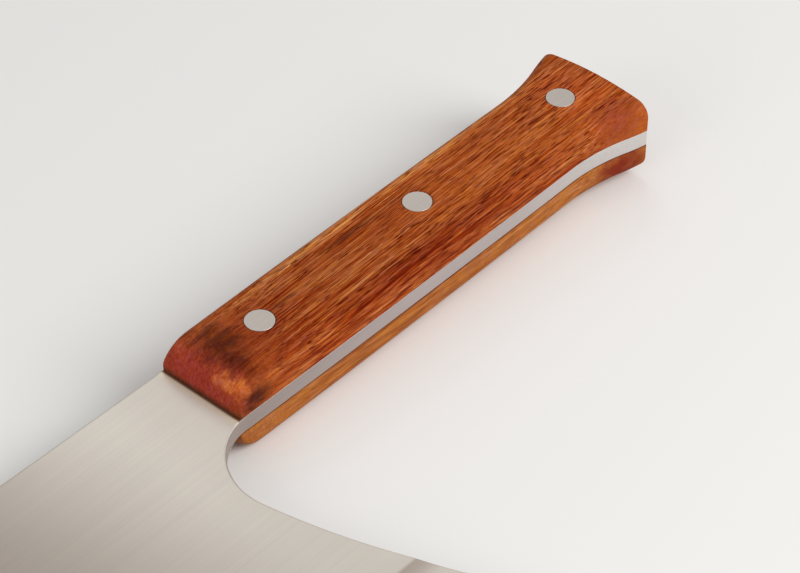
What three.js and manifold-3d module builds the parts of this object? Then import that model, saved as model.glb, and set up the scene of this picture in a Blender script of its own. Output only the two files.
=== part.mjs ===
// Bone cleaver, lying on its side: a plate blade with a full tang, two wooden scales
// and three two-piece rivets. Millimetres, +Z up. X runs along the handle towards the
// butt, Y from the cutting edge towards the spine, Z through the thickness.
// While the pieces are made, X = 0 is the front of the scales, Y = 0 the centre line
// of the handle and Z = 0 the middle of the plate.
import * as THREE from 'three';
import { mergeVertices, toCreasedNormals } from 'three/addons/utils/BufferGeometryUtils.js';
import Module from 'manifold-3d';

const { degToRad, lerp } = THREE.MathUtils;
const wasm = await Module();
wasm.setup();

// Handle, both scales and the tang between them
const handleLength = 129.7;
const handleThickness = 20.9;
const frontHalfWidth = 11.36;
const bellyHalfWidth = 11.67;
const bellyFromFront = 60.8;
const flareLength = 21.9;
const flareRadius = 50.6;
const flareTurn = degToRad(18.5);
const crownRadius = 80;
const edgeRadius = 3.8;
const frontRadius = 6.6;
const frontLand = 0.6;
const frontCornerRadius = 0.6;
const buttEase = 0.25;

// Blade
const plateThickness = 4;
const bladeLength = 185;
const spineRise = degToRad(0.94);
const toeSetback = 6;
const toeCornerRadius = 14;
const notchRadius = 13.15;
const notchFromFront = 1.55;
const notchOverrun = degToRad(8.7);
const heelRadius = 152;
const outlineEase = 0.35;
const tangLap = 20;

// Grind, the two bevelled faces down to the cutting edge
const shoulderDrop = 63;
const edgeDrop = 93;
const edgeArcRadius = 520;
const edgeLowFromFront = 75;
const grindHollow = 0.12;
const edgeBevelHeight = 2.4;
const edgeBevelThickness = 0.9;
const edgeLand = 0.2;

// Rivets
const rivetFrontInset = 18.2;
const rivetButtInset = 12.3;
const rivetFrontOffset = 0.23;
const rivetButtOffset = 0.5;
const rivetMiddleShift = new THREE.Vector2(0.84, 0.46);
const rivetHeadRadius = 3.32;
const rivetHeadThickness = 2.6;
const rivetSleeveRadius = 2.4;
const rivetPostRadius = 1.5;
const rivetPostClearance = 0.12;
const rivetEndClearance = 0.3;
const rivetHeadClearance = 0.15;
const rivetHoleClearance = 0.15;

// Fineness of the facets, and how far a cutting solid runs past what it cuts
const roundSteps = 7;
const crownSteps = 5;
const bellySteps = 8;
const flareSteps = 10;
const easeSteps = 3;
const arcSteps = 28;
const hollowSteps = 6;
const grindSteps = 32;
const rivetSides = 32;
const creaseAngle = degToRad(25);
const cutMargin = 5;

const halfPlate = plateThickness / 2;
const halfHandle = handleThickness / 2;
const scaleThickness = halfHandle - halfPlate;
const flareStart = handleLength - flareLength;
const headSeat = halfHandle - rivetHeadThickness;

// Values from first to last in equal steps, both included.
function range(first, last, steps) {
  return Array.from({ length: steps + 1 }, (_, i) => lerp(first, last, i / steps));
}

// How far a corner of this radius is cut back at a distance from its end face.
function roundInset(radius, distance) {
  const left = Math.max(radius - distance, 0);
  return radius - Math.sqrt(radius * radius - left * left);
}

// A closed three.js geometry as a solid that can be joined and cut.
function solid(geometry) {
  geometry.deleteAttribute('normal');
  geometry.deleteAttribute('uv');
  const merged = mergeVertices(geometry);
  const corners = merged.index.array;
  const triVerts = [];
  for (let i = 0; i < corners.length; i += 3) {
    const [a, b, c] = corners.slice(i, i + 3);
    if (a !== b && b !== c && c !== a) triVerts.push(a, b, c);
  }
  return new wasm.Manifold(new wasm.Mesh({
    numProp: 3,
    vertProperties: merged.attributes.position.array,
    triVerts: new Uint32Array(triVerts),
  }));
}

// A named mesh with its own material from a finished solid.
function piece(name, body, material) {
  const { vertProperties, triVerts } = body.getMesh();
  const geometry = new THREE.BufferGeometry();
  geometry.setAttribute('position', new THREE.BufferAttribute(vertProperties, 3));
  geometry.setIndex(new THREE.BufferAttribute(triVerts, 1));
  const mesh = new THREE.Mesh(toCreasedNormals(geometry, creaseAngle), material);
  mesh.name = name;
  return mesh;
}

// Skin over cross-sections that all have the same number of (y, z) points, counter-clockwise
// when seen from the butt, with a cap on the first and the last.
function loft(sections) {
  const count = sections[0].points.length;
  const vertices = sections.flatMap(({ x, points }) => points.flatMap((p) => [x, p.x, p.y]));
  const faces = [];
  for (let s = 0; s + 1 < sections.length; s += 1) {
    for (let i = 0; i < count; i += 1) {
      const a = s * count + i;
      const b = s * count + ((i + 1) % count);
      faces.push(a, b, b + count, a, b + count, a + count);
    }
  }
  const last = (sections.length - 1) * count;
  const cap = (section) => THREE.ShapeUtils.triangulateShape(section.points, []);
  cap(sections[0]).forEach(([a, b, c]) => faces.push(a, c, b));
  cap(sections.at(-1)).forEach(([a, b, c]) => faces.push(last + a, last + b, last + c));
  const geometry = new THREE.BufferGeometry();
  geometry.setAttribute('position', new THREE.Float32BufferAttribute(vertices, 3));
  geometry.setIndex(faces);
  return solid(geometry);
}

// A flat outline with a thickness, centred on Z = 0, its edges eased by a small bevel.
function plateFrom(shape, thickness, ease) {
  const geometry = new THREE.ExtrudeGeometry(shape, {
    depth: thickness - 2 * ease,
    curveSegments: arcSteps,
    bevelEnabled: ease > 0,
    bevelThickness: ease,
    bevelSize: ease,
    bevelOffset: -ease,
    bevelSegments: easeSteps,
  });
  return solid(geometry.translate(0, 0, ease - thickness / 2));
}

// A turned piece with an upright axis at a place on the handle, from (radius, z) points.
function turned(profile, place) {
  const points = profile.map(([radius, z]) => new THREE.Vector2(radius, z));
  const geometry = new THREE.LatheGeometry(points, rivetSides).rotateX(Math.PI / 2);
  return solid(geometry.translate(place.x, place.y, 0));
}

// A slab between two heights, wider than the whole cleaver.
function slab(bottom, top) {
  const reach = handleLength + bladeLength + cutMargin;
  const geometry = new THREE.BoxGeometry(2 * reach, 2 * reach, top - bottom);
  return solid(geometry.translate(0, 0, (bottom + top) / 2));
}

// Half width of the handle: a shallow belly, then a reverse curve out to the flared butt.
function halfWidth(x) {
  const fromBelly = (Math.min(x, flareStart) - bellyFromFront) / bellyFromFront;
  const belly = bellyHalfWidth - (bellyHalfWidth - frontHalfWidth) * fromBelly ** 2;
  const along = Math.max(x - flareStart, 0);
  const turnLength = flareRadius * Math.sin(flareTurn);
  const rise = (d) => flareRadius - Math.sqrt(flareRadius ** 2 - d ** 2);
  if (along < turnLength) return belly + rise(along);
  return belly + 2 * rise(turnLength) - rise(2 * turnLength - along);
}

// Places of the handle's cross-sections: round front, belly, flare and eased butt.
const quarterTurn = (steps) => range(0, Math.PI / 2, steps);
const handleStations = [
  ...quarterTurn(roundSteps).map((angle) => frontRadius * (1 - Math.cos(angle))),
  ...range(frontRadius, flareStart, bellySteps).slice(1),
  ...range(flareStart, handleLength - buttEase, flareSteps).slice(1),
  ...quarterTurn(easeSteps).slice(1).map((angle) => handleLength - buttEase * (1 - Math.sin(angle))),
];
const buttInset = (x) => roundInset(buttEase, handleLength - x);

// One cross-section of the handle: upright sides, rounded edges and a crowned face on
// each side. Near the front the faces sink to the plate along a quarter round.
function handleSection(x) {
  const width = halfWidth(x) - buttInset(x) - roundInset(frontCornerRadius, x);
  const top = halfHandle - buttInset(x);
  const acrossCorner = width - edgeRadius;
  const cornerRise = Math.sqrt((crownRadius - edgeRadius) ** 2 - acrossCorner ** 2);
  const cornerHeight = top - crownRadius + cornerRise;
  const cornerTurn = Math.atan2(cornerRise, acrossCorner);
  const corner = range(0, cornerTurn, roundSteps).map((angle) => new THREE.Vector2(
    acrossCorner + edgeRadius * Math.cos(angle),
    cornerHeight + edgeRadius * Math.sin(angle),
  ));
  const crown = range(cornerTurn, Math.PI / 2, crownSteps).slice(1).map((angle) => new THREE.Vector2(
    crownRadius * Math.cos(angle),
    top - crownRadius + crownRadius * Math.sin(angle),
  ));
  const risen = lerp(1, frontLand / scaleThickness, roundInset(frontRadius, x) / frontRadius);
  const quarter = [...corner, ...crown].map((p) => new THREE.Vector2(p.x, lerp(halfPlate, p.y, risen)));
  const mirrored = quarter.slice(0, -1).reverse().map((p) => new THREE.Vector2(-p.x, p.y));
  const upper = [...quarter, ...mirrored];
  return [...upper, ...upper.map((p) => new THREE.Vector2(-p.x, -p.y))];
}

// The whole handle as one form. The scales, the tang and the rivet heads are all ground
// to it, so their outsides are flush.
const handleForm = loft(handleStations.map((x) => ({ x, points: handleSection(x) })));

const spineAt = (x) => frontHalfWidth - x * Math.tan(spineRise);

// Corner between two straight lines, rounded with an arc that both lines touch.
function roundedCorner(shape, from, corner, to, radius) {
  const back = from.clone().sub(corner).normalize();
  const ahead = to.clone().sub(corner).normalize();
  const half = Math.acos(back.dot(ahead)) / 2;
  const start = corner.clone().addScaledVector(back, radius / Math.tan(half));
  const end = corner.clone().addScaledVector(ahead, radius / Math.tan(half));
  const bisector = back.clone().add(ahead).normalize();
  const centre = corner.clone().addScaledVector(bisector, radius / Math.sin(half));
  const startAngle = start.clone().sub(centre).angle();
  const endAngle = end.clone().sub(centre).angle();
  shape.lineTo(start.x, start.y);
  shape.absarc(centre.x, centre.y, radius, startAngle, endAngle, back.cross(ahead) > 0);
}

// Outline of the blade from above. It runs past the cutting edge, which the grind trims,
// and laps into the tang under the scales.
function bladeOutline() {
  const below = -edgeDrop - cutMargin;
  const notchY = -halfWidth(notchFromFront) - notchRadius;
  const heelStart = Math.PI + notchOverrun;
  const heelX = notchFromFront + (notchRadius - heelRadius) * Math.cos(heelStart);
  const heelY = notchY + (notchRadius - heelRadius) * Math.sin(heelStart);
  const heelEnd = Math.PI - Math.asin((below - heelY) / heelRadius);
  const toeTopX = toeSetback - bladeLength;
  const spineFront = new THREE.Vector2(0, spineAt(0));
  const toeTop = new THREE.Vector2(toeTopX, spineAt(toeTopX));
  const toeFoot = new THREE.Vector2(-bladeLength, below);
  const shape = new THREE.Shape();
  shape.moveTo(tangLap, notchY + notchRadius);
  shape.lineTo(notchFromFront, notchY + notchRadius);
  shape.absarc(notchFromFront, notchY, notchRadius, Math.PI / 2, heelStart, false);
  shape.absarc(heelX, heelY, heelRadius, heelStart, heelEnd, false);
  shape.lineTo(toeFoot.x, toeFoot.y);
  roundedCorner(shape, toeFoot, toeTop, spineFront, toeCornerRadius);
  shape.lineTo(spineFront.x, spineFront.y);
  shape.lineTo(tangLap, spineFront.y);
  return shape;
}

// Outline of the tang: the handle's own sides, so it stays flush with the scales.
function tangOutline() {
  const side = handleStations.map((x) => new THREE.Vector2(x, halfWidth(x) - buttInset(x)));
  const otherSide = side.map((p) => new THREE.Vector2(p.x, -p.y)).reverse();
  return new THREE.Shape([...side, ...otherSide]);
}

// Height of the cutting edge at a place along the blade, on one long shallow arc.
function edgeAt(x) {
  const fromLowest = x + edgeLowFromFront;
  return edgeArcRadius - edgeDrop - Math.sqrt(edgeArcRadius ** 2 - fromLowest ** 2);
}

// One cross-section of the grind: clear of the plate above the shoulder, then slightly
// hollow faces down to the small bevels of the cutting edge.
function grindSection(x) {
  const bevelTop = edgeAt(x) + edgeBevelHeight;
  const face = range(0, 1, hollowSteps).map((s) => new THREE.Vector2(
    lerp(-shoulderDrop, bevelTop, s),
    lerp(halfPlate, edgeBevelThickness / 2, s) - 4 * grindHollow * s * (1 - s),
  ));
  const top = new THREE.Vector2(spineAt(-bladeLength) + cutMargin, halfPlate + cutMargin);
  const lead = new THREE.Vector2(cutMargin - shoulderDrop, halfPlate + cutMargin);
  const oneSide = [top, lead, ...face, new THREE.Vector2(edgeAt(x), edgeLand / 2)];
  const otherSide = oneSide.map((p) => new THREE.Vector2(p.x, -p.y)).reverse();
  return [...oneSide, ...otherSide];
}

// Stepped hole for a rivet: it clears the sleeve through the middle and a head at each end.
function rivetHole(place) {
  const wide = rivetHeadRadius + rivetHeadClearance;
  const narrow = rivetSleeveRadius + rivetHoleClearance;
  const end = halfHandle + cutMargin;
  return turned([
    [0, -end], [wide, -end], [wide, -headSeat], [narrow, -headSeat],
    [narrow, headSeat], [wide, headSeat], [wide, end], [0, end],
  ], place);
}

// Solid half of a rivet, its head on the upper scale, ground flush with it.
function rivetPost(place) {
  const shankEnd = rivetEndClearance - headSeat;
  const end = halfHandle + cutMargin;
  return turned([
    [0, shankEnd], [rivetPostRadius, shankEnd], [rivetPostRadius, headSeat],
    [rivetHeadRadius, headSeat], [rivetHeadRadius, end], [0, end],
  ], place).intersect(handleForm);
}

// Tubular half of a rivet, its head on the lower scale, ground flush with it.
function rivetSleeve(place) {
  const bore = rivetPostRadius + rivetPostClearance;
  const mouth = headSeat - rivetEndClearance;
  const end = halfHandle + cutMargin;
  return turned([
    [0, -end], [rivetHeadRadius, -end], [rivetHeadRadius, -headSeat], [rivetSleeveRadius, -headSeat],
    [rivetSleeveRadius, mouth], [bore, mouth], [bore, -headSeat], [0, -headSeat],
  ], place).intersect(handleForm);
}

// Where the rivets sit: the middle one halfway between the others, drilled a little off their line.
const frontRivet = new THREE.Vector2(rivetFrontInset, rivetFrontOffset);
const buttRivet = new THREE.Vector2(handleLength - rivetButtInset, rivetButtOffset);
const middleRivet = frontRivet.clone().lerp(buttRivet, 0.5).add(rivetMiddleShift);
const rivets = { front: frontRivet, middle: middleRivet, butt: buttRivet };

// A body with the three rivet holes through it.
function drilled(body) {
  return Object.values(rivets).reduce((left, place) => left.subtract(rivetHole(place)), body);
}

// The blade: the eased plate brought down to its edge by the grind, with the tang added.
function blade() {
  const outline = bladeOutline();
  const span = new THREE.Box2().setFromPoints(outline.getPoints());
  const stations = range(span.min.x - cutMargin, span.max.x + cutMargin, grindSteps);
  const grind = loft(stations.map((x) => ({ x, points: grindSection(x) })));
  const plate = plateFrom(outline, plateThickness, outlineEase).intersect(grind);
  return drilled(plate.add(plateFrom(tangOutline(), plateThickness, 0)));
}

// A scale: the handle form on one side of the plate, with its rivet holes.
function scale(side) {
  const [bottom, top] = [side * halfPlate, side * (halfHandle + cutMargin)].sort((a, b) => a - b);
  return drilled(handleForm.intersect(slab(bottom, top)));
}

const bladeSteel = () => new THREE.MeshStandardMaterial({ color: 0xcec7bb, roughness: 0.38, metalness: 1 });
const rivetSteel = () => new THREE.MeshStandardMaterial({ color: 0xbbafa8, roughness: 0.42, metalness: 1 });
const redWood = () => new THREE.MeshStandardMaterial({ color: 0x984821, roughness: 0.45, metalness: 0 });

const pieces = new THREE.Group();
pieces.add(piece('blade_with_tang', blade(), bladeSteel()));
pieces.add(piece('scale_upper', scale(1), redWood()));
pieces.add(piece('scale_lower', scale(-1), redWood()));
Object.entries(rivets).forEach(([name, place]) => {
  pieces.add(piece(`rivet_${name}_post`, rivetPost(place), rivetSteel()));
  pieces.add(piece(`rivet_${name}_sleeve`, rivetSleeve(place), rivetSteel()));
});

// The origin goes under the middle of the cleaver, level with its lowest point.
const box = new THREE.Box3().setFromObject(pieces);
const middle = box.getCenter(new THREE.Vector3());
pieces.position.set(-middle.x, -middle.y, -box.min.z);

const cleaver = new THREE.Group();
cleaver.name = 'bone_cleaver';
cleaver.add(pieces);

export default cleaver;
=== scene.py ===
import math

import bmesh
import bpy
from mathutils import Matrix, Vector
from mathutils.geometry import delaunay_2d_cdt


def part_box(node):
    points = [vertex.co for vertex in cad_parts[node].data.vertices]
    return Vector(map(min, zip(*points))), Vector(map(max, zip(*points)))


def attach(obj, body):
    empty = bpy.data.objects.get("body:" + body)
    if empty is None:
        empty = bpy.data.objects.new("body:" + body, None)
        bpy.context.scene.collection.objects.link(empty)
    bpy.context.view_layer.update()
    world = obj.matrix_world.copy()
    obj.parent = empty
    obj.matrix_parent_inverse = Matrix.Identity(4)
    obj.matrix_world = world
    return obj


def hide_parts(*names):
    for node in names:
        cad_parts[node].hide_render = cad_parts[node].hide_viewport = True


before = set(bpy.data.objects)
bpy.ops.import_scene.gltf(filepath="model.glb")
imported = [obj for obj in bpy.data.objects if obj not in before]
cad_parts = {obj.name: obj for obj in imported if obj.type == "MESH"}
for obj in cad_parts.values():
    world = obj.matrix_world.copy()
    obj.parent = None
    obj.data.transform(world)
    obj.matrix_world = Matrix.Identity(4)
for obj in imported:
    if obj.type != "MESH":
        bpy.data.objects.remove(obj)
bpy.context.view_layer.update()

# Shapes are worked out in millimetres from a datum: the front of the scales, the centre line
# of the handle and the middle of the plate. X runs to the butt, Y to the spine, Z up.
MM = 0.001
scale_low, scale_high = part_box("scale_upper")
blade_low, blade_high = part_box("blade_with_tang")
DATUM = Vector((scale_low.x, (scale_low.y + scale_high.y) / 2, (blade_low.z + blade_high.z) / 2))

# Sizes taken from the frame
HANDLE_LENGTH = (scale_high.x - scale_low.x) / MM
HALF_HANDLE = (scale_high.z - DATUM.z) / MM
HALF_PLATE = (blade_high.z - blade_low.z) / 2 / MM
TIP_X = (blade_low.x - DATUM.x) / MM
EDGE_DROP = (DATUM.y - blade_low.y) / MM

# Handle form
FRONT_HALF_WIDTH = 11.36
BELLY_HALF_WIDTH = 11.67
BELLY_FROM_FRONT = 60.8
FLARE_LENGTH = 21.9
FLARE_RADIUS = 50.6
FLARE_TURN = math.radians(18.5)
CROWN_RADIUS = 80
EDGE_RADIUS = 3.8
FRONT_RADIUS = 6.6
FRONT_LAND = 0.6
FRONT_CORNER = 0.6
BUTT_EASE = 0.25
SEAM_EASE = 0.14
FLARE_START = HANDLE_LENGTH - FLARE_LENGTH
SCALE_THICKNESS = HALF_HANDLE - HALF_PLATE

# Blade form
SPINE_RISE = math.radians(0.94)
TOE_LEAN = 6 / 112.3
TOE_CORNER = 14
NOTCH_RADIUS = 16.5
NOTCH_FROM_FRONT = 2.53
NOTCH_END = math.radians(190)
HEEL_RADIUS = 161.9
SHOULDER_DROP = 63
EDGE_ARC = 520
EDGE_LOW_X = -75
GRIND_HOLLOW = 0.12
BEVEL_HEIGHT = 2.4
BEVEL_HALF = 0.45
LAND_HALF = 0.1
BLADE_EASE = 0.6
TANG_EASE = 0.05
EASE_SHARE = 0.4
RIM_STRIP = 0.06
EASE_RUN = 4
MITRE_LIMIT = 0.5

# Rivets
HEAD_GAP = 0.16
HEAD_HEIGHT = 2.6
HEAD_EASE = 0.04
HEAD_FLAT = 0.97
SHANK_RADIUS = 2.4
SHANK_GAP = 0.15
RIVET_SIDES = 96
RIVET_NAMES = ("front", "middle", "butt")

# Fineness of the meshes
FRONT_STEPS = 28
BELLY_STEPS = 40
FLARE_STEPS = 30
BUTT_STEPS = 5
SEAM_STEPS = 4
EDGE_STEPS = 16
CROWN_STEPS = 14
NOTCH_STEPS = 44
HEEL_STEPS = 16
CUTTING_EDGE_STEPS = 70
TOE_STEPS = 14
TOE_CORNER_STEPS = 24
SPINE_STEPS = 40
TANG_END_STEPS = 8
GRIND_STEPS = 48
EASE_STEPS = 5
SCALE_CREASE = math.radians(35)
BLADE_CREASE = math.radians(40)
RIVET_CREASE = math.radians(35)
MERGE_DISTANCE = 1e-7
PLAN_TOLERANCE = 1e-6

# Noise, as waves to the millimetre along each axis, detail and roughness
SWAY = ((0.01, 0.04, 0.04), 1.0, 0.4)
FRAY = ((0.25, 0.45, 0.45), 3.0, 0.6)
SPECKLE = ((1.6, 1.6, 0.8), 2.0, 0.6)
CROWDING = ((0.03, 0.14, 0.14), 1.0, 0.5)
WARMTH = ((0.2, 1.0, 1.0), 3.0, 0.7)
FINE_BRUSHING = ((0.02, 6.5, 6.5), 2.0, 0.6)
WIDE_BRUSHING = ((0.006, 0.6, 0.6), 3.0, 0.6)
CLOUDING = ((0.03, 0.05, 0.05), 2.0, 0.5)

# Wood: a streak is its waves to the millimetre along and across the grain, and its weight at the front
# and at the rear; a pore is its waves along and across, and the noise level at which it begins
WOOD_STREAKS = (
    (0.006, 0.1, 0.15, 0.15),
    (0.008, 0.25, 0.25, 0.15),
    (0.008, 0.6, 0.5, 0.25),
    (0.01, 1.2, 0.6, 0.3),
    (0.02, 2.2, 0.7, 0.4),
    (0.04, 3.2, 0.85, 0.65),
    (0.09, 5.0, 1.25, 1.05),
)
WOOD_PORES = ((0.13, 2.4, 0.645), (0.26, 3.4, 0.615), (0.34, 5.0, 0.61))
PORE_EDGE = 0.04
PORE_SHIFT = 9
PORE_STRENGTH = 0.5
PORE_REAR_GAIN = 0.08
CROWDING_WEIGHT = 0.12
WOOD_LEVEL = 0.51
# Painted light: the wood is made lighter towards the butt
REAR_PAINTED_LIGHT_GAIN = 0.12
SPECKLE_WEIGHT = 0.7
GRAIN_SWING = 0.5
GRAIN_SLANT = 0.018
BAND_DEPTH = 0.35
FRONT_DIVE = 2.5
FRONT_FIGURE = 0.25
CORNER_LOSS = 0.7
WARM_LEVELS = (0.36, 0.64)
WARM_TINT = (1.03, 0.98, 0.5, 1)
STAIN_FADE = (1.1, 0.1)
WOOD_BUMP = {"Strength": 0.15, "Distance": 0.00005}
TONE_BUMP = 0.3
WOOD_ROUGHNESS = 0.46
WOOD_SPECULAR = 0.02

# Where along the handle, and across it, the wood changes
DIVE_SPAN = (0, 30)
FRONT_SPAN = (3, 24)
SPECKLE_SPAN = (5, 18)
REAR_SPAN = (55, 85)
# Painted light: where the wood grows lighter towards the butt
REAR_PAINTED_LIGHT_ALONG = (55, 90)
CORNER_ALONG = (110, 120)
CORNER_ACROSS = (-8, -13)

# Wood tones from dark to light, as screen colours
UPPER_TONES = (
    (116, 30, 2),
    (147, 54, 12),
    (166, 79, 36),
    (179, 96, 53),
    (198, 120, 74),
)
# Painted light: the lower scale is the same wood, in lighter, more golden tones for its lit side
LOWER_PAINTED_LIGHT_TONES = (
    (122, 62, 28),
    (166, 99, 57),
    (203, 140, 87),
)
PORE_TONE = (92, 24, 0)

# Stained, worn, darker and lighter places, some of them painted light and shade as marked: centre, reach,
# what they multiply the colour by, and how frayed their edge is
UPPER_STAINS_AND_PAINTED_LIGHT = (
    ((0.5, 3, 5), (9, 24, 10), (1.1, 0.71, 2.5), 0.8),
    ((7.5, 2.5, 10.4), (6.4, 10, 6), (0.33, 0.34, 0.55), 1.6),
    ((6.3, -5.8, 10.1), (4.2, 7, 5), (0.45, 0.38, 0.5), 1.5),
    ((15, -2, 10), (16, 14, 8), (0.74, 0.64, 0.85), 1.2),
    ((2, -6.6, 7.8), (2.8, 5.8, 2.4), (1.75, 2.8, 1.75), 2.4),
    ((4.4, -11.9, 5.2), (6.5, 2.4, 4.8), (0.2, 0.22, 0.4), 1.2),
    ((51, 4.8, 10.3), (15, 1.2, 3), (0.55, 0.48, 0.5), 0.9),
    ((25.5, 0.6, 10.4), (6, 1.2, 3), (0.55, 0.46, 0.5), 0.9),
    # Painted highlight: a pale sheen along the far rounded edge
    ((60, 9, 9), (80, 3.5, 4), (1.42, 1.85, 2.02), 1.0),
    ((122, -12, 8), (10, 6, 8), (0.74, 0.62, 1.0), 0.8),
    ((65, -10, 9), (60, 3, 8), (0.63, 0.45, 0.47), 1.0),
    # Painted light: the top of the butt lighter and paler
    ((120, 0, 10), (12, 16, 8), (1.2, 1.13, 1.28), 0.8),
    ((42, 0, 10), (30, 20, 6), (0.95, 1.05, 1.25), 0.6),
    # Dark foot of the round front beside the blade: partly glue line, partly painted contact shadow
    ((0.2, 0, 1.9), (1.6, 60, 2.0), (0.3, 0.7, 0.6), 0.2),
)
LOWER_STAINS_AND_PAINTED_SHADOW = (
    ((122, -15, -6), (13, 9, 9), (0.48, 0.17, 0.27), 1.0),
    # Dark line along the seam with the tang: partly glue line, partly painted shadow of the gap
    ((65, -12, -1.9), (200, 60, 0.6), (0.25, 0.2, 0.25), 0.1),
)

# Steel: tints, how much of them shows, and where on the blade they come in
BLADE_STEEL = (0.71, 0.657, 0.585)
RIVET_STEEL = (0.635, 0.58, 0.528)
PALE_GAIN = 1.05
DEEP_GAIN = 0.92
FINE_SHARE = 0.7
LINE_SHARE = 0.8
SHADE_LEVELS = (0.3, 0.7)
STEEL_BUMP = {"Strength": 0.08, "Distance": 0.00002}
BRUSH_ROUGHNESS = 0.16
SEAM_METAL_LOSS = 0.2
SEAM_METAL_SPAN = (-16, -2)
# Painted shade on the blade's flat sides, standing for its reflection falling off: darker towards the
# middle of the blade, easing towards the toe, a little darker beside the scales
PAINTED_SHADE_TINT = (0.07, 0.015, 0, 1)
PAINTED_SHADE_SHARE = 0.48
PAINTED_SHADE_SLANT = 0.15
PAINTED_SHADE_SPAN = (-68, -12)
TOE_PAINTED_SHADE_LOSS = 0.55
TOE_PAINTED_SHADE_SPAN = (-72, -180)
NEAR_PAINTED_SHADE_SHARE = 0.09
NEAR_PAINTED_SHADE_SPAN = (-22, -6)
# Painted shade in a band just below the shoulder, standing for the dark reflection of the hollow grind
GRIND_PAINTED_SHADE = (0.15, 0.045, 0.01, 1)
GRIND_PAINTED_SHADE_SHARE = 0.4
GRIND_BAND_START = 1
GRIND_BAND_END = 7
# Along the seam: the pale band is painted light and painted reflection of the wood; the dark line is partly
# glue line, partly painted contact shadow
SEAM_PAINTED_LIGHT = (0.8, 0.7, 0.545, 1)
SEAM_PAINTED_LIGHT_SPAN = (-2.6, -0.5)
SEAM_GLUE_AND_SHADOW = (0.22, 0.1, 0.055, 1)
SEAM_GLUE_AND_SHADOW_SPAN = (-0.8, -0.2)
SEAM_END = (3, 1)
SEAM_ACROSS = (-20, -15)

# Ground walls of the tang and the notch, in painted shade that lightens to painted light towards the butt
WALL_LEVELS = (0.998, 0.97)
WALL_MARGIN = 0.12
WALL_MARGIN_SPAN = (-2, 1)
WALL_HEEL_SPAN = (-62, -58)
WALL_BLADE_SPAN = (-35, -20)
# Painted shade and light of the walls, from the front to the butt
TANG_FRONT_PAINTED_SHADE = (0.315, 0.255, 0.228, 1)
TANG_MIDDLE_PAINTED_SHADE = (0.43, 0.374, 0.365, 1)
TANG_BUTT_PAINTED_LIGHT = (0.6, 0.565, 0.545, 1)
TANG_FRONT_SPAN = (-20, 70)
TANG_BUTT_SPAN = (70, 128)
TANG_SHADE = 0.15
BLACK = (0, 0, 0, 1)

# Camera of the photograph, and the frame it takes
PHOTO_WIDTH = 800
FOCAL_PIXELS = 3001
SENSOR_WIDTH = 36
VIEW_AZIMUTH = math.radians(-48.299)
VIEW_ELEVATION = math.radians(42.335)
VIEW_DISTANCE = 650.42
VIEW_TARGET = (54.067, -7.129, 0)
LENS_NEAR = 0.01

# How the cleaver leans on the floor, from the lower scale over to the toe of its edge
FLOOR_TIP = math.radians(5.17)
FLOOR_LEAN = math.radians(0.93)
FLOOR_SIZE = 3.0
FLOOR_TONE = (243, 242, 240)
FLOOR_ROUGHNESS = 0.7
FLOOR_SPECULAR = 0.2

# Light: a pale dome, and softboxes by azimuth, elevation, distance, width, height and glow
DOME_COLOUR = (1, 0.99, 0.975, 1)
DOME_STRENGTH = 0.42
SOFTBOXES = {
    "back_softbox": (136, 40, 1.2, 0.45, 0.45, 1.2),
    "side_softbox": (20, 42, 1.3, 0.8, 0.8, 6.2),
    "front_softbox": (-85, 30, 1.2, 0.7, 0.6, 1.6),
}

QUARTER = math.pi / 2
SETTLING_ROUNDS = 12


def placed(x, y, z):
    """A point given in millimetres from the datum, in the frame."""
    return DATUM + Vector((x, y, z)) * MM


def lerp(first, last, share):
    return first + (last - first) * share


def steps(first, last, count):
    """Values from first to last in equal steps, both included."""
    return [lerp(first, last, i / count) for i in range(count + 1)]


def round_inset(radius, distance):
    """How far a rounded corner is cut back at a distance from its end face."""
    left = max(radius - distance, 0)
    return radius - math.sqrt(radius ** 2 - left ** 2)


# Handle form

def half_width(x):
    """Half the handle's width: a shallow belly, then a reverse curve out to the flared butt."""
    from_belly = (min(x, FLARE_START) - BELLY_FROM_FRONT) / BELLY_FROM_FRONT
    belly = BELLY_HALF_WIDTH - (BELLY_HALF_WIDTH - FRONT_HALF_WIDTH) * from_belly ** 2
    along = max(x - FLARE_START, 0)
    turn_length = FLARE_RADIUS * math.sin(FLARE_TURN)
    if along < turn_length:
        return belly + round_rise(along)
    return belly + 2 * round_rise(turn_length) - round_rise(2 * turn_length - along)


def round_rise(distance):
    """How far an arc of the flare has turned aside after a distance."""
    return FLARE_RADIUS - math.sqrt(FLARE_RADIUS ** 2 - distance ** 2)


def butt_inset(x):
    return round_inset(BUTT_EASE, HANDLE_LENGTH - x)


def handle_stations():
    """Places of the cross-sections: close together on the round front, the flare and the butt."""
    front = [FRONT_RADIUS * (1 - math.cos(angle)) for angle in steps(0, QUARTER, FRONT_STEPS)]
    belly = steps(FRONT_RADIUS, FLARE_START, BELLY_STEPS)[1:]
    flare = steps(FLARE_START, HANDLE_LENGTH - BUTT_EASE, FLARE_STEPS)[1:]
    turns = steps(0, QUARTER, BUTT_STEPS)[1:]
    butt = [HANDLE_LENGTH - BUTT_EASE * (1 - math.sin(angle)) for angle in turns]
    return front + belly + flare + butt


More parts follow.
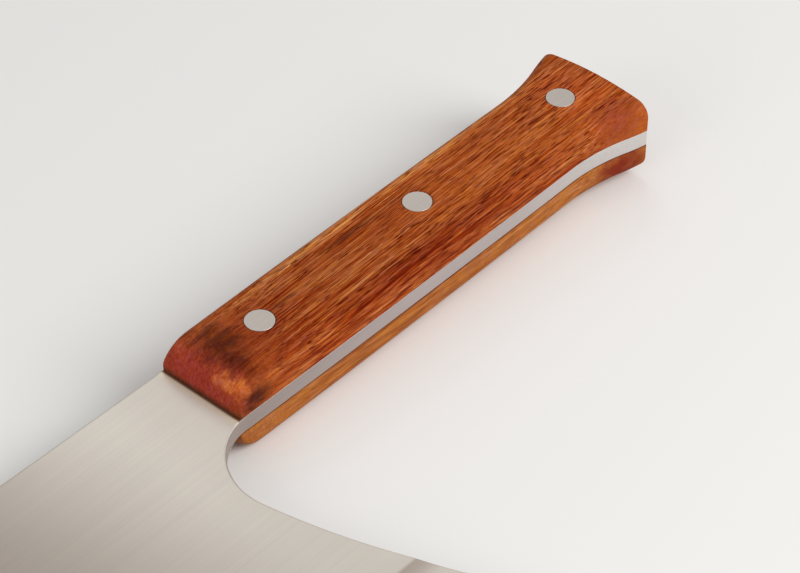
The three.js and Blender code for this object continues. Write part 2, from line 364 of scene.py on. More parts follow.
def scale_section(x):
    """Outline of the upper scale at x, as (y, z) points from one seam over the crown to the other."""
    width = half_width(x) - butt_inset(x) - round_inset(FRONT_CORNER, x)
    top = HALF_HANDLE - butt_inset(x)
    across = width - EDGE_RADIUS
    rise = math.sqrt((CROWN_RADIUS - EDGE_RADIUS) ** 2 - across ** 2)
    height = top - CROWN_RADIUS + rise
    turn = math.atan2(rise, across)
    half = []
    for angle in steps(0, QUARTER, SEAM_STEPS):
        cut_back = SEAM_EASE * (1 - math.sin(angle))
        half.append((width - cut_back, HALF_PLATE + SEAM_EASE * (1 - math.cos(angle))))
    for angle in steps(0, turn, EDGE_STEPS):
        half.append((across + EDGE_RADIUS * math.cos(angle), height + EDGE_RADIUS * math.sin(angle)))
    for angle in steps(turn, QUARTER, CROWN_STEPS)[1:]:
        half.append((CROWN_RADIUS * math.cos(angle), top - CROWN_RADIUS * (1 - math.sin(angle))))
    risen = lerp(1, FRONT_LAND / SCALE_THICKNESS, round_inset(FRONT_RADIUS, x) / FRONT_RADIUS)
    half = [(y, lerp(HALF_PLATE, z, risen)) for y, z in half]
    return half + [(-y, z) for y, z in reversed(half[:-1])]


def rivet_places():
    """Where the rivets stand, as (x, y) from the datum, read from the frame."""
    places = []
    for name in RIVET_NAMES:
        low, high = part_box(f"rivet_{name}_post")
        middle = (low + high) / 2 - DATUM
        places.append((middle.x / MM, middle.y / MM))
    return places


def head_radius():
    low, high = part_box("rivet_front_post")
    return (high.x - low.x) / 2 / MM


# Meshes

def mesh_from(name, points, faces):
    """A mesh from millimetre points, with doubles merged and faces outward."""
    shape = bmesh.new()
    corners = [shape.verts.new(placed(*point)) for point in points]
    for face in faces:
        shape.faces.new([corners[i] for i in face])
    bmesh.ops.remove_doubles(shape, verts=shape.verts, dist=MERGE_DISTANCE)
    bmesh.ops.recalc_face_normals(shape, faces=shape.faces)
    mesh = bpy.data.meshes.new(name)
    shape.to_mesh(mesh)
    shape.free()
    return mesh


def smooth(mesh, crease):
    """Smooth shading, kept sharp where faces meet at more than the crease angle."""
    mesh.shade_smooth()
    mesh.set_sharp_from_angle(angle=crease)
    return mesh


def show(name, data):
    """A new object in the scene, at the origin, for a mesh, a lens or a lamp."""
    thing = bpy.data.objects.new(name, data)
    bpy.context.scene.collection.objects.link(thing)
    return thing


def fit_piece(name, mesh, material, nodes):
    """A finished piece on the cleaver, standing for its nodes; no material where its mesh has one."""
    if material is not None:
        mesh.materials.clear()
        mesh.materials.append(material)
    thing = show(name, mesh)
    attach(thing, "root")
    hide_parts(*nodes)
    return thing


def evaluated_mesh(thing):
    """The mesh of an object with its modifiers applied."""
    graph = bpy.context.evaluated_depsgraph_get()
    return bpy.data.meshes.new_from_object(thing.evaluated_get(graph))


def turned_mesh(name, profile, place, side):
    """A turned solid on an upright axis, from (radius, height) points that start and end on the axis."""
    points = []
    faces = []
    rings = len(profile)
    for i in range(RIVET_SIDES):
        angle = 2 * math.pi * i / RIVET_SIDES
        for radius, height in profile:
            x = place[0] + radius * math.cos(angle)
            y = place[1] + radius * math.sin(angle)
            points.append((x, y, side * height))
        ahead = (i + 1) % RIVET_SIDES
        for k in range(rings - 1):
            loop = [i * rings + k, ahead * rings + k, ahead * rings + k + 1, i * rings + k + 1]
            if profile[k][0] == 0:
                loop.pop(1)
            if profile[k + 1][0] == 0:
                loop.pop(2)
            faces.append(loop)
    return mesh_from(name, points, faces)


def scale_mesh(name, side):
    """A scale as a skin over its cross-sections, drilled for the rivets; side is 1 above, -1 below."""
    points = []
    faces = []
    stations = handle_stations()
    for x in stations:
        points += [(x, y, side * z) for y, z in scale_section(x)]
    count = len(scale_section(0))
    for s in range(len(stations) - 1):
        for i in range(count):
            ahead = (i + 1) % count
            near = s * count
            far = near + count
            faces.append([near + i, near + ahead, far + ahead, far + i])
    faces.append(list(range(count)))
    faces.append([(len(stations) - 1) * count + i for i in range(count)])
    blank = show(name + "_blank", mesh_from(name + "_blank", points, faces))
    drills = []
    wide = head_radius() + HEAD_GAP
    narrow = SHANK_RADIUS + SHANK_GAP
    seat = HALF_HANDLE - HEAD_HEIGHT
    clear = 2 * HALF_HANDLE
    profile = [(0, 0), (narrow, 0), (narrow, seat), (wide, seat), (wide, clear), (0, clear)]
    for place in rivet_places():
        drill = show(name + "_drill", turned_mesh(name + "_drill", profile, place, side))
        cut = blank.modifiers.new("drill", "BOOLEAN")
        cut.object = drill
        cut.solver = "EXACT"
        drills.append(drill)
    mesh = evaluated_mesh(blank)
    mesh.name = name
    for spare in [blank] + drills:
        bpy.data.objects.remove(spare)
    return smooth(mesh, SCALE_CREASE)


# Blade

def spine_y(x):
    return FRONT_HALF_WIDTH - x * math.tan(SPINE_RISE)


def edge_y(x):
    """The cutting edge, on one long shallow arc."""
    return EDGE_ARC - EDGE_DROP - math.sqrt(EDGE_ARC ** 2 - (x - EDGE_LOW_X) ** 2)


def grind_y(x, share):
    """Across the grind: share 0 at the shoulder, 1 at the top of the edge bevel, 2 at the edge."""
    bevel_top = edge_y(x) + BEVEL_HEIGHT
    if share <= 1:
        return lerp(-SHOULDER_DROP, bevel_top, share)
    return lerp(bevel_top, edge_y(x), share - 1)


def half_thickness(x, y):
    """Half the plate's thickness: flat, then a slightly hollow grind down to the edge bevel."""
    if y >= -SHOULDER_DROP:
        return HALF_PLATE
    bevel_top = edge_y(x) + BEVEL_HEIGHT
    if y >= bevel_top:
        share = (y + SHOULDER_DROP) / (bevel_top + SHOULDER_DROP)
        return lerp(HALF_PLATE, BEVEL_HALF, share) - 4 * GRIND_HOLLOW * share * (1 - share)
    return lerp(BEVEL_HALF, LAND_HALF, min((bevel_top - y) / BEVEL_HEIGHT, 1))


NOTCH_CENTRE = Vector((NOTCH_FROM_FRONT, -half_width(NOTCH_FROM_FRONT) - NOTCH_RADIUS))
NOTCH_END_WAY = Vector((math.cos(NOTCH_END), math.sin(NOTCH_END)))
HEEL_CENTRE = NOTCH_CENTRE + (NOTCH_RADIUS - HEEL_RADIUS) * NOTCH_END_WAY


def heel_x(y):
    return HEEL_CENTRE.x - math.sqrt(HEEL_RADIUS ** 2 - (y - HEEL_CENTRE.y) ** 2)


def toe_x(y):
    return TIP_X + (y - edge_y(TIP_X)) * TOE_LEAN


def row_end(end_x, share):
    """Where a row of the grind meets the heel or the toe."""
    y = -SHOULDER_DROP
    for _ in range(SETTLING_ROUNDS):
        y = grind_y(end_x(y), share)
    return end_x(y), y


def arc(centre, radius, first, last, count):
    """Points on an arc from a first to a last angle, both included."""
    x, y = centre
    return [(x + radius * math.cos(a), y + radius * math.sin(a)) for a in steps(first, last, count)]


def toe_corner():
    """The rounded corner between the toe and the spine."""
    toe_angle = math.atan2(1, TOE_LEAN)
    spine_angle = -SPINE_RISE
    half = (math.pi - toe_angle + spine_angle) / 2
    x = TIP_X
    for _ in range(SETTLING_ROUNDS):
        x = toe_x(spine_y(x))
    corner = Vector((x, spine_y(x)))
    inward = (toe_angle + spine_angle - math.pi) / 2
    bisector = Vector((math.cos(inward), math.sin(inward)))
    centre = corner + bisector * TOE_CORNER / math.sin(half)
    return arc(centre, TOE_CORNER, toe_angle + QUARTER, spine_angle + QUARTER, TOE_CORNER_STEPS)


# Rows of points across the grind, close together at its shoulder and at the top of the bevel
GRIND_ROWS = [-0.012, 0, 0.012] + steps(0.1, 0.9, 8) + [0.985, 1, 1.06, 1.5]


def blade_outline():
    """The blade and tang from above, and for each row of the grind its places at the heel and toe."""
    eased = HANDLE_LENGTH - BUTT_EASE
    tang = [(x, half_width(x)) for x in handle_stations() if NOTCH_FROM_FRONT < x <= eased]
    tang.append((HANDLE_LENGTH, half_width(HANDLE_LENGTH) - BUTT_EASE))
    outline = [(x, -y) for x, y in reversed(tang)]
    outline += arc(NOTCH_CENTRE, NOTCH_RADIUS, QUARTER, NOTCH_END, NOTCH_STEPS)
    first_row = row_end(heel_x, GRIND_ROWS[0])[1]
    outline += [(heel_x(y), y) for y in steps(outline[-1][1], first_row, HEEL_STEPS)[1:-1]]
    heel_at = len(outline)
    outline += [row_end(heel_x, share) for share in GRIND_ROWS]
    heel_tip = row_end(heel_x, 2)
    toe_tip = row_end(toe_x, 2)
    outline += [(x, edge_y(x)) for x in steps(heel_tip[0], toe_tip[0], CUTTING_EDGE_STEPS)]
    toe_at = len(outline)
    outline += [row_end(toe_x, share) for share in reversed(GRIND_ROWS)]
    corner = toe_corner()
    outline += [(toe_x(y), y) for y in steps(outline[-1][1], corner[0][1], TOE_STEPS)[1:-1]]
    outline += corner
    outline += [(x, spine_y(x)) for x in steps(corner[-1][0], 0, SPINE_STEPS)[1:]]
    outline += tang
    end_half = tang[-1][1]
    outline += [(HANDLE_LENGTH, y) for y in steps(end_half, -end_half, TANG_END_STEPS)[1:-1]]
    last = len(GRIND_ROWS) - 1
    row_ends = [(heel_at + k, toe_at + last - k) for k in range(len(GRIND_ROWS))]
    return [Vector(point) for point in outline], row_ends


def inward_normals(outline):
    """For each point of a clockwise outline, the step inward that moves both its sides by one."""
    normals = []
    for i, point in enumerate(outline):
        before = (point - outline[i - 1]).normalized()
        after = (outline[(i + 1) % len(outline)] - point).normalized()
        inward = Vector((before.y + after.y, -before.x - after.x)).normalized()
        normals.append(inward / max(inward.dot(Vector((before.y, -before.x))), MITRE_LIMIT))
    return normals


def blade_ease(x, y):
    """Radius of the eased edge: small on the tang between the scales, less where the grind gets thin."""
    share = min(max((NOTCH_FROM_FRONT - x) / EASE_RUN, 0), 1)
    return min(lerp(TANG_EASE, BLADE_EASE, share), EASE_SHARE * half_thickness(x, y))


def blade_rings(outline):
    """Rings of (x, y, half thickness) from the wall over the eased edge to a flat strip inside it."""
    normals = inward_normals(outline)
    rings = []
    for angle in steps(0, QUARTER, EASE_STEPS):
        ring = []
        for point, normal in zip(outline, normals):
            ease = blade_ease(*point)
            inner = point + normal * ease * (1 - math.cos(angle))
            ring.append((inner.x, inner.y, half_thickness(*inner) - ease * (1 - math.sin(angle))))
        rings.append(ring)
    strip = []
    for point, normal in zip(outline, normals):
        inner = point + normal * (blade_ease(*point) + RIM_STRIP)
        strip.append((inner.x, inner.y, half_thickness(*inner)))
    rings.append(strip)
    return rings


def blade_face(ring, row_ends, holes):
    """Fills the inside of the last ring: its points, then those of the grind rows and the rivet holes."""
    plan = [Vector(point[:2]) for point in ring]
    links = [(i, (i + 1) % len(plan)) for i in range(len(plan))]
    for share, (heel, toe) in zip(GRIND_ROWS, row_ends):
        inner = steps(plan[heel].x, plan[toe].x, GRIND_STEPS)[1:-1]
        chain = [heel] + list(range(len(plan), len(plan) + len(inner))) + [toe]
        plan += [Vector((x, grind_y(x, share))) for x in inner]
        links += zip(chain, chain[1:])
    hole_loops = []
    for hole in holes:
        loop = list(range(len(plan), len(plan) + RIVET_SIDES))
        round_hole = arc(hole, SHANK_RADIUS + SHANK_GAP, 0, 2 * math.pi, RIVET_SIDES)
        plan += [Vector(point) for point in round_hole[:-1]]
        links += zip(loop, loop[1:] + loop[:1])
        hole_loops.append(loop)
    inside_only = 1
    filled = delaunay_2d_cdt(plan, links, [], inside_only, PLAN_TOLERANCE)
    triangles, origins = filled[2:4]
    faces = [[origins[i][0] for i in triangle] for triangle in triangles]
    faces = [face for face in faces if not any(set(face) <= set(loop) for loop in hole_loops)]
    heights = [point[2] for point in ring] + [half_thickness(*p) for p in plan[len(ring):]]
    return [(p.x, p.y, z) for p, z in zip(plan, heights)], faces, hole_loops


def blade_mesh():
    """The blade and tang: eased rim, flat sides, hollow grind, and holes for the rivets."""
    outline, row_ends = blade_outline()
    rings = blade_rings(outline)
    inside, triangles, hole_loops = blade_face(rings[-1], row_ends, rivet_places())
    count = len(outline)
    side_points = [point for ring in rings[:-1] for point in ring] + inside
    rim = count * (len(rings) - 1)
    below = len(side_points)
    points = side_points + [(x, y, -z) for x, y, z in side_points]
    faces = []
    for start in (0, below):
        for k in range(len(rings) - 1):
            for i in range(count):
                a = start + k * count + i
                b = start + k * count + (i + 1) % count
                faces.append([a, b, b + count, a + count])
        faces += [[start + rim + i for i in triangle] for triangle in triangles]
    for i in range(count):
        ahead = (i + 1) % count
        faces.append([i, below + i, below + ahead, ahead])
    for loop in hole_loops:
        for a, b in zip(loop, loop[1:] + loop[:1]):
            faces.append([rim + a, rim + b, below + rim + b, below + rim + a])
    return smooth(mesh_from("blade", points, faces), BLADE_CREASE)


# Node trees

class Value:
    """A node's socket in an expression: each operator adds its Math node."""

    def __init__(self, tree, socket):
        self.tree = tree
        self.socket = socket

    def maths(self, operation, *operands):
        return self.tree.node("ShaderNodeMath", {"operation": operation}, dict(enumerate(operands)))

    def __add__(self, other):
        return self.maths("ADD", self, other)

    def __sub__(self, other):
        return self.maths("SUBTRACT", self, other)

    def __rsub__(self, other):
        return self.maths("SUBTRACT", other, self)

    def __mul__(self, other):
        return self.maths("MULTIPLY", self, other)

    def __truediv__(self, other):
        return self.maths("DIVIDE", self, other)

    __radd__ = __add__
    __rmul__ = __mul__


class Tree:
    """A node tree that is being built, of a material, a world or a geometry group."""

    def __init__(self, nodes):
        self.nodes = nodes.nodes
        self.links = nodes.links

    def node(self, kind, settings, inputs, output=None):
        """Adds a node, or takes one that is there: settings first, then values and links of its sockets."""
        made = self.nodes.new(kind) if isinstance(kind, str) else kind
        for name, value in settings.items():
            if name == "stops":
                self.ramp(made.color_ramp, value)
            else:
                setattr(made, name, value)
        for key, value in inputs.items():
            self.feed(self.find(made.inputs, key), value)
        return Value(self, self.find(made.outputs, output)) if made.outputs else made

    def find(self, sockets, key):
        usable = [socket for socket in sockets if socket.enabled]
        if key is None:
            return usable[0]
        return usable[key] if isinstance(key, int) else next(s for s in usable if s.name == key)

    def feed(self, socket, value):
        if isinstance(value, Value):
            self.links.new(value.socket, socket)
        else:
            socket.default_value = value

    def ramp(self, ramp, stops):
        """Stops of a colour ramp, as (place, colour)."""
        while len(ramp.elements) < len(stops):
            ramp.elements.new(1)
        for element, (place, tone) in zip(ramp.elements, stops):
            element.position = place
            element.color = tone

    def noise(self, place, stretch, detail=2.0, rough=0.5, shift=(0, 0, 0)):
        """Smooth noise from 0 to 1 with so many waves to the millimetre along each axis."""
        stretched = {0: place, 1: stretch, 2: shift}
        spot = self.node("ShaderNodeVectorMath", {"operation": "MULTIPLY_ADD"}, stretched)
        values = {"Vector": spot, "Scale": 1.0, "Detail": detail, "Roughness": rough}
        return self.node("ShaderNodeTexNoise", {}, values)

    def span(self, value, low, high):
        """0 where a value is at low, 1 at high, with a soft step between."""
        settings = {"interpolation_type": "SMOOTHSTEP"}
        values = {"Value": value, "From Min": low, "From Max": high}
        return self.node("ShaderNodeMapRange", settings, values)

    def blend(self, share, first, second, mode="MIX"):
        """One colour over another by a share."""
        settings = {"data_type": "RGBA", "blend_type": mode}
        return self.node("ShaderNodeMix", settings, {"Factor": share, "A": first, "B": second})


def colour(red, green, blue):
    """A screen colour, 0 to 255 a channel, as the linear one that sockets take."""
    def linear(level):
        level = level / 255
        return level / 12.92 if level <= 0.04045 else ((level + 0.055) / 1.055) ** 2.4
    return (linear(red), linear(green), linear(blue), 1)


def new_finish(name):
    """A material with its tree and its main shader."""
    material = bpy.data.materials.new(name)
    material.use_nodes = True
    return material, Tree(material.node_tree), material.node_tree.nodes["Principled BSDF"]


def place_in_mm(tree):
    """Object coordinates in millimetres from the datum."""
    where = tree.node("ShaderNodeTexCoord", {}, {}, "Object")
    values = {0: where, 1: (1 / MM,) * 3, 2: tuple(-DATUM / MM)}
    return tree.node("ShaderNodeVectorMath", {"operation": "MULTIPLY_ADD"}, values)


def axes(tree, place):
    """The three parts of a vector."""
    parts = tree.node("ShaderNodeSeparateXYZ", {}, {0: place})
    return [tree.node(parts.socket.node, {}, {}, axis) for axis in "XYZ"]


# Wood

def grain_places(tree, place, plunge, shift):
    """Millimetre coordinates that sway with the growth bands, and the same diving with the fibres."""
    x, y, z = axes(tree, place)
    swing = (tree.noise(place, *SWAY, shift) - 0.5) * GRAIN_SWING
    across = y + swing - x * GRAIN_SLANT
    dive = x * plunge + tree.span(x, *DIVE_SPAN) * FRONT_DIVE
    banded = {"X": x, "Y": across, "Z": z * BAND_DEPTH + swing}
    diving = {"X": x, "Y": across, "Z": z + dive}
    return [tree.node("ShaderNodeCombineXYZ", {}, parts) for parts in (banded, diving)]


def figure_strength(tree, x, y):
    """How clearly the grain shows: less on the worn front and at the near corner of the butt."""
    front = FRONT_FIGURE + (1 - FRONT_FIGURE) * tree.span(x, *FRONT_SPAN)
    corner = tree.span(x, *CORNER_ALONG) * tree.span(y, *CORNER_ACROSS)
    return front * (1 - CORNER_LOSS * corner)


def streak_level(tree, bands, rear, shift):
    """Lighter and darker streaks from broad to fine, around 0."""
    level = 0
    for along, across, front_weight, rear_weight in WOOD_STREAKS:
        wave = tree.noise(bands, (along, across, across), detail=0.0, shift=shift) - 0.5
        level = wave * (front_weight + rear * (rear_weight - front_weight)) + level
    return level


def pore_level(tree, place, fibres, shift):
    """Thin pores along the fibres, crowded in places: 0 beside a pore and 1 in it."""
    crowd = (tree.noise(place, *CROWDING, shift) - 0.5) * CROWDING_WEIGHT
    level = 0
    for along, across, low in WOOD_PORES:
        apart = (shift[0] + PORE_SHIFT, shift[1], shift[2] + across)
        pore = tree.noise(fibres, (along, across, across), detail=0.0, shift=apart)
        level = tree.span(pore + crowd, low, low + PORE_EDGE) + level
    return level


def patch(tree, place, centre, reach, fray):
    """A mask that is 1 at a place in the wood and fades out at its reach, with a frayed edge."""
    away = tree.node("ShaderNodeVectorMath", {"operation": "SUBTRACT"}, {0: place, 1: centre})
    scaled = tree.node("ShaderNodeVectorMath", {"operation": "DIVIDE"}, {0: away, 1: reach})
    distance = tree.node("ShaderNodeVectorMath", {"operation": "LENGTH"}, {0: scaled}, "Value")
    ragged = tree.noise(place, *FRAY, centre)
    return tree.span(distance + (ragged - 0.5) * fray, *STAIN_FADE)


def wood_finish(name, plunge, contrast, shift, tones, stains_and_painted_light):
    """Red-brown hardwood: streaks from broad to fine, dark pores, stained places and painted light and
    shade, lighter towards the butt.
    """
    material, tree, shader = new_finish(name)
    place = place_in_mm(tree)
    bands, fibres = grain_places(tree, place, plunge, shift)
    x, y, _ = axes(tree, place)
    rear = tree.span(x, *REAR_SPAN)
    figure = figure_strength(tree, x, y) * contrast
    speckle = (tree.noise(place, *SPECKLE, shift) - 0.5) * (1 - tree.span(x, *SPECKLE_SPAN))
    # Painted light: lighter towards the butt
    level = WOOD_LEVEL + tree.span(x, *REAR_PAINTED_LIGHT_ALONG) * REAR_PAINTED_LIGHT_GAIN
    tone = level + streak_level(tree, bands, rear, shift) * figure + speckle * SPECKLE_WEIGHT
    stops = [(i / (len(tones) - 1), colour(*step)) for i, step in enumerate(tones)]
    body = tree.node("ShaderNodeValToRGB", {"stops": stops}, {"Fac": tone})
    pores = pore_level(tree, place, fibres, shift)
    darkened = pores * figure * (PORE_STRENGTH + PORE_REAR_GAIN * rear)
    coloured = tree.blend(darkened, body, colour(*PORE_TONE))
    warm = tree.span(tree.noise(place, *WARMTH, shift), *WARM_LEVELS)
    coloured = tree.blend(warm, coloured, WARM_TINT, "MULTIPLY")
    for centre, reach, tint, fray in stains_and_painted_light:
        share = patch(tree, place, centre, reach, fray)
        coloured = tree.blend(share, coloured, (*tint, 1), "MULTIPLY")
    bump = tree.node("ShaderNodeBump", {}, {**WOOD_BUMP, "Height": tone * TONE_BUMP - pores})
    values = {
        "Base Color": coloured,
        "Roughness": WOOD_ROUGHNESS,
        "Normal": bump,
        "Specular IOR Level": WOOD_SPECULAR,
    }
    tree.node(shader, {}, values)
    return material


# Steel

def brushing(tree, place):
    """Brush lines along X, and how light they leave the steel, from 0 to 1."""
    fine = tree.noise(place, *FINE_BRUSHING)
    wide = tree.noise(place, *WIDE_BRUSHING)
    cloud = tree.noise(place, *CLOUDING)
    lines = fine * FINE_SHARE + wide * (1 - FINE_SHARE)
    shade = tree.span(lines * LINE_SHARE + cloud * (1 - LINE_SHARE), *SHADE_LEVELS)
    return lines, shade


def face_tone(tree, x, y, steel):
    """Flat sides with painted shade: darker beside the scales, towards the middle of the blade and below
    the shoulder.
    """
    # Painted shade: the fall-off of the steel's reflection, painted into its colour
    far = 1 - TOE_PAINTED_SHADE_LOSS * tree.span(x, *TOE_PAINTED_SHADE_SPAN)
    painted_shade = PAINTED_SHADE_SHARE * far * (1 - tree.span(x + y * PAINTED_SHADE_SLANT, *PAINTED_SHADE_SPAN))
    painted_shade = painted_shade + NEAR_PAINTED_SHADE_SHARE * tree.span(x, *NEAR_PAINTED_SHADE_SPAN)
    tone = tree.blend(painted_shade, steel, PAINTED_SHADE_TINT)
    # Painted shade below the shoulder, for the hollow grind's dark reflection
    top = -SHOULDER_DROP - GRIND_BAND_START
    bottom = -SHOULDER_DROP - GRIND_BAND_END
    band = tree.span(y, -SHOULDER_DROP, top) * tree.span(y, bottom, top)
    return tree.blend(GRIND_PAINTED_SHADE_SHARE * band, tone, GRIND_PAINTED_SHADE)


def seam_tone(tree, x, y, face):
    """Along the front of the scales: a pale band of painted light and painted reflection of the wood, and a
    dark line beside the wood, partly glue line and partly painted contact shadow.
    """
    seam = tree.span(x, *SEAM_END) * tree.span(y, *SEAM_ACROSS)
    tone = tree.blend(tree.span(x, *SEAM_PAINTED_LIGHT_SPAN) * seam, face, SEAM_PAINTED_LIGHT)
    return tree.blend(tree.span(x, *SEAM_GLUE_AND_SHADOW_SPAN) * seam, tone, SEAM_GLUE_AND_SHADOW)


def wall_mask(tree, x, y, z):
    """1 on the walls of the tang and the notch, within the plate's thickness, and 0 on its sides."""
    inside = z * z / HALF_PLATE ** 2 + WALL_MARGIN * (1 - tree.span(x, *WALL_MARGIN_SPAN))
    handle_end = tree.span(y, *WALL_HEEL_SPAN) * tree.span(x, *WALL_BLADE_SPAN)
    return tree.span(inside, *WALL_LEVELS) * handle_end


def wall_tone(tree, x, shade):
    """Ground walls in painted shade, darkest at the front, with painted light towards the butt."""
    tone = tree.blend(tree.span(x, *TANG_FRONT_SPAN), TANG_FRONT_PAINTED_SHADE, TANG_MIDDLE_PAINTED_SHADE)
    tone = tree.blend(tree.span(x, *TANG_BUTT_SPAN), tone, TANG_BUTT_PAINTED_LIGHT)
    return tree.blend(shade * TANG_SHADE, tone, BLACK)


def steel_finish(name, tint, roughness, metal):
    """Satin steel with fine brush lines along X, and painted light and shade on the blade, along the seam
    and on the tang.
    """
    material, tree, shader = new_finish(name)
    place = place_in_mm(tree)
    x, y, z = axes(tree, place)
    lines, shade = brushing(tree, place)
    deep = (*(level * DEEP_GAIN for level in tint), 1)
    pale = (*(level * PALE_GAIN for level in tint), 1)
    face = face_tone(tree, x, y, tree.blend(shade, deep, pale))
    face = seam_tone(tree, x, y, face)
    values = {
        "Base Color": tree.blend(wall_mask(tree, x, y, z), face, wall_tone(tree, x, shade)),
        "Metallic": metal - SEAM_METAL_LOSS * tree.span(x, *SEAM_METAL_SPAN),
        "Roughness": roughness + (lines - 0.5) * BRUSH_ROUGHNESS,
        "Normal": tree.node("ShaderNodeBump", {}, {**STEEL_BUMP, "Height": lines}),
    }
    tree.node(shader, {}, values)
    return material


# Rivets

def rivet_tree():
    """Rivet heads with their shanks, one on each point; returns the group and its inputs by name."""
    group = bpy.data.node_groups.new("rivet_heads", "GeometryNodeTree")
    group.interface.new_socket("Geometry", in_out="OUTPUT", socket_type="NodeSocketGeometry")
    kinds = {
        "Places": "NodeSocketGeometry",
        "Head Radius": "NodeSocketFloat",
        "Head Height": "NodeSocketFloat",
        "Head Ease": "NodeSocketFloat",
        "Shank Radius": "NodeSocketFloat",
        "Shank Length": "NodeSocketFloat",
        "Crown Radius": "NodeSocketFloat",
        "Sides": "NodeSocketInt",
        "Steel": "NodeSocketMaterial",
    }
    keys = {}
    for name, kind in kinds.items():
        keys[name] = group.interface.new_socket(name, in_out="INPUT", socket_type=kind).identifier
    tree = Tree(group)
    given = group.nodes.new("NodeGroupInput")
    size = {name: Value(tree, given.outputs[name]) for name in kinds}
    body = {
        "Vertices": size["Sides"],
        "Radius": size["Head Radius"],
        "Depth": size["Head Height"] - size["Head Ease"],
    }
    blank = tree.node("GeometryNodeMeshCylinder", {}, body, "Mesh")
    top = Value(tree, blank.socket.node.outputs["Top"])
    bottom = Value(tree, blank.socket.node.outputs["Bottom"])
    inner_share = 1 - size["Head Ease"] / size["Head Radius"]
    eased, rim = grown(tree, blank, top, size["Head Ease"], inner_share)
    flat, _ = grown(tree, eased, rim, 0.0, HEAD_FLAT)
    stepped, seat = grown(tree, flat, bottom, 0.0, size["Shank Radius"] / size["Head Radius"])
    whole, _ = grown(tree, stepped, seat, size["Shank Length"], 1.0)
    raised = tree.node("GeometryNodeSetPosition", {}, {"Geometry": whole, "Offset": crown_fit(tree, size)})
    points = tree.node("GeometryNodeMeshToPoints", {}, {"Mesh": size["Places"]})
    turn = tree.node("GeometryNodeInputNamedAttribute", {"data_type": "FLOAT_VECTOR"}, {"Name": "turn"})
    copies = {"Points": points, "Instance": raised, "Rotation": turn}
    heads = tree.node("GeometryNodeInstanceOnPoints", {}, copies)
    plain = tree.node("GeometryNodeRealizeInstances", {}, {"Geometry": heads})
    made = tree.node("GeometryNodeSetMaterial", {}, {"Geometry": plain, "Material": size["Steel"]})
    tree.node("NodeGroupOutput", {}, {"Geometry": made})
    return group, keys


def grown(tree, mesh, faces, length, share):
    """Draws faces out by a length and scales the new end; returns the mesh and the end's faces."""
    values = {"Mesh": mesh, "Selection": faces, "Offset Scale": length, "Individual": False}
    drawn = tree.node("GeometryNodeExtrudeMesh", {"mode": "FACES"}, values, "Mesh")
    end = Value(tree, drawn.socket.node.outputs["Top"])
    resized = {"Geometry": drawn, "Selection": end, "Scale": share}
    return tree.node("GeometryNodeScaleElements", {}, resized), end


def crown_fit(tree, size):
    """Moves a head so that its top lies on its point and follows the crown of the scale."""
    spot = tree.node("GeometryNodeInputPosition", {}, {})
    y = axes(tree, spot)[1]
    drop = (size["Head Height"] + size["Head Ease"]) * 0.5 + y * y / (size["Crown Radius"] * 2)
    return tree.node("ShaderNodeCombineXYZ", {}, {"Z": 0 - drop})


def rivet_mesh(steel):
    """All rivet heads, on both scales, from the node tree."""
    seats = bpy.data.meshes.new("rivet_places")
    tops = [(x, y, side * HALF_HANDLE) for side in (1, -1) for x, y in rivet_places()]
    seats.from_pydata([placed(*top) for top in tops], [], [])
    turns = seats.attributes.new("turn", "FLOAT_VECTOR", "POINT")
    for turn, top in zip(turns.data, tops):
        turn.vector = (0, 0, 0) if top[2] > 0 else (math.pi, 0, 0)
    thing = show("rivet_places", seats)
    group, keys = rivet_tree()
    modifier = thing.modifiers.new("rivets", "NODES")
    modifier.node_group = group
    sizes = {
        "Head Radius": head_radius() * MM,
        "Head Height": HEAD_HEIGHT * MM,
        "Head Ease": HEAD_EASE * MM,
        "Shank Radius": SHANK_RADIUS * MM,
        "Shank Length": (HALF_HANDLE - HEAD_HEIGHT - SHANK_GAP) * MM,
        "Crown Radius": CROWN_RADIUS * MM,
        "Sides": RIVET_SIDES,
        "Steel": steel,
    }
    for name, value in sizes.items():
        modifier[keys[name]] = value
    mesh = evaluated_mesh(thing)
    bpy.data.objects.remove(thing)
    return smooth(mesh, RIVET_CREASE)


# Stage

def floor_mesh():
    """A level sheet under the cleaver as it lies, so tilted against the frame as the cleaver leans."""
    up = Vector((math.tan(FLOOR_LEAN), math.tan(FLOOR_TIP), 1)).normalized()
    reach = min(up.dot(v.co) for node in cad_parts.values() for v in node.data.vertices)
    along = Vector((1, 0, 0)) - up * up.x
    across = up.cross(along)
    signs = ((-1, -1), (1, -1), (1, 1), (-1, 1))
    corners = [up * reach + (along * a + across * b) * FLOOR_SIZE for a, b in signs]
    mesh = bpy.data.meshes.new("floor")
    mesh.from_pydata(corners, [], [(0, 1, 2, 3)])
    return mesh


def floor_finish():
    """The plain pale floor."""
    material, tree, shader = new_finish("pale_floor")
    values = {
        "Base Color": colour(*FLOOR_TONE),
        "Roughness": FLOOR_ROUGHNESS,
        "Specular IOR Level": FLOOR_SPECULAR,
    }
    tree.node(shader, {}, values)
    return material


def view_back(azimuth, elevation):
    """The direction from the cleaver back to a camera or a lamp."""
    level = math.cos(elevation)
    return Vector((math.sin(azimuth) * level, -math.cos(azimuth) * level, math.sin(elevation)))


def add_camera():
    """The camera of the photograph, which looks at the handle."""
    lens = bpy.data.cameras.new("camera")
    lens.sensor_width = SENSOR_WIDTH
    lens.lens = FOCAL_PIXELS / PHOTO_WIDTH * SENSOR_WIDTH
    lens.clip_start = LENS_NEAR
    camera = show("camera", lens)
    back = view_back(VIEW_AZIMUTH, VIEW_ELEVATION)
    camera.location = placed(*VIEW_TARGET) + back * VIEW_DISTANCE * MM
    camera.rotation_euler = back.to_track_quat("Z", "Y").to_euler()
    bpy.context.scene.camera = camera


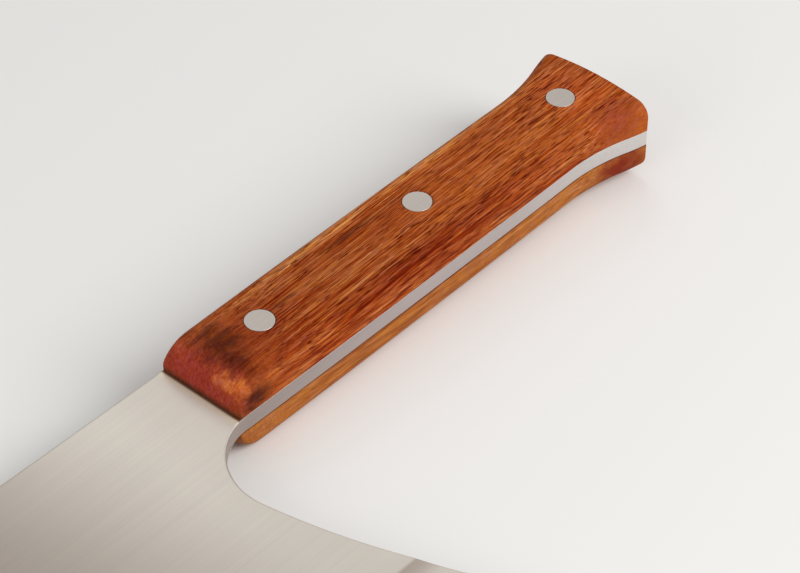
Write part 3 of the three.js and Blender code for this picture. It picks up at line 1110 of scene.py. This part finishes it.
def add_softbox(name, azimuth, elevation, distance, width, height, glow):
    """A flat lamp that faces the handle; glow is how bright its surface looks."""
    lamp = bpy.data.lights.new(name, "AREA")
    lamp.shape = "RECTANGLE"
    lamp.size = width
    lamp.size_y = height
    lamp.energy = glow * math.pi * width * height
    thing = show(name, lamp)
    back = view_back(math.radians(azimuth), math.radians(elevation))
    thing.location = placed(0, 0, 0) + back * distance
    thing.rotation_euler = back.to_track_quat("Z", "Y").to_euler()


def add_light():
    """A soft pale dome and three softboxes: past the butt, beside the cutting edge and past the toe."""
    world = bpy.data.worlds.new("studio")
    world.use_nodes = True
    bpy.context.scene.world = world
    tree = Tree(world.node_tree)
    dome = {"Color": DOME_COLOUR, "Strength": DOME_STRENGTH}
    tree.node(world.node_tree.nodes["Background"], {}, dome)
    for name, lamp in SOFTBOXES.items():
        add_softbox(name, *lamp)


blade_steel = steel_finish("blade_steel", BLADE_STEEL, roughness=0.38, metal=0.5)
rivet_steel = steel_finish("rivet_steel", RIVET_STEEL, roughness=0.46, metal=1.0)
upper_wood = wood_finish(
    "upper_wood", plunge=0.02, contrast=1.0, shift=(0, 0, 0), tones=UPPER_TONES, stains_and_painted_light=UPPER_STAINS_AND_PAINTED_LIGHT
)
lower_wood = wood_finish(
    "lower_wood", plunge=0.01, contrast=0.5, shift=(40, 17, 5), tones=LOWER_PAINTED_LIGHT_TONES, stains_and_painted_light=LOWER_STAINS_AND_PAINTED_SHADOW
)

fit_piece("blade", blade_mesh(), blade_steel, ["blade_with_tang"])
fit_piece("upper_scale", scale_mesh("upper_scale", 1), upper_wood, ["scale_upper"])
fit_piece("lower_scale", scale_mesh("lower_scale", -1), lower_wood, ["scale_lower"])
rivet_nodes = [f"rivet_{name}_{half}" for name in RIVET_NAMES for half in ("post", "sleeve")]
fit_piece("rivets", rivet_mesh(rivet_steel), None, rivet_nodes)

floor = show("floor", floor_mesh())
floor.data.materials.append(floor_finish())
add_camera()
add_light()
bpy.context.scene.view_settings.view_transform = "Standard"
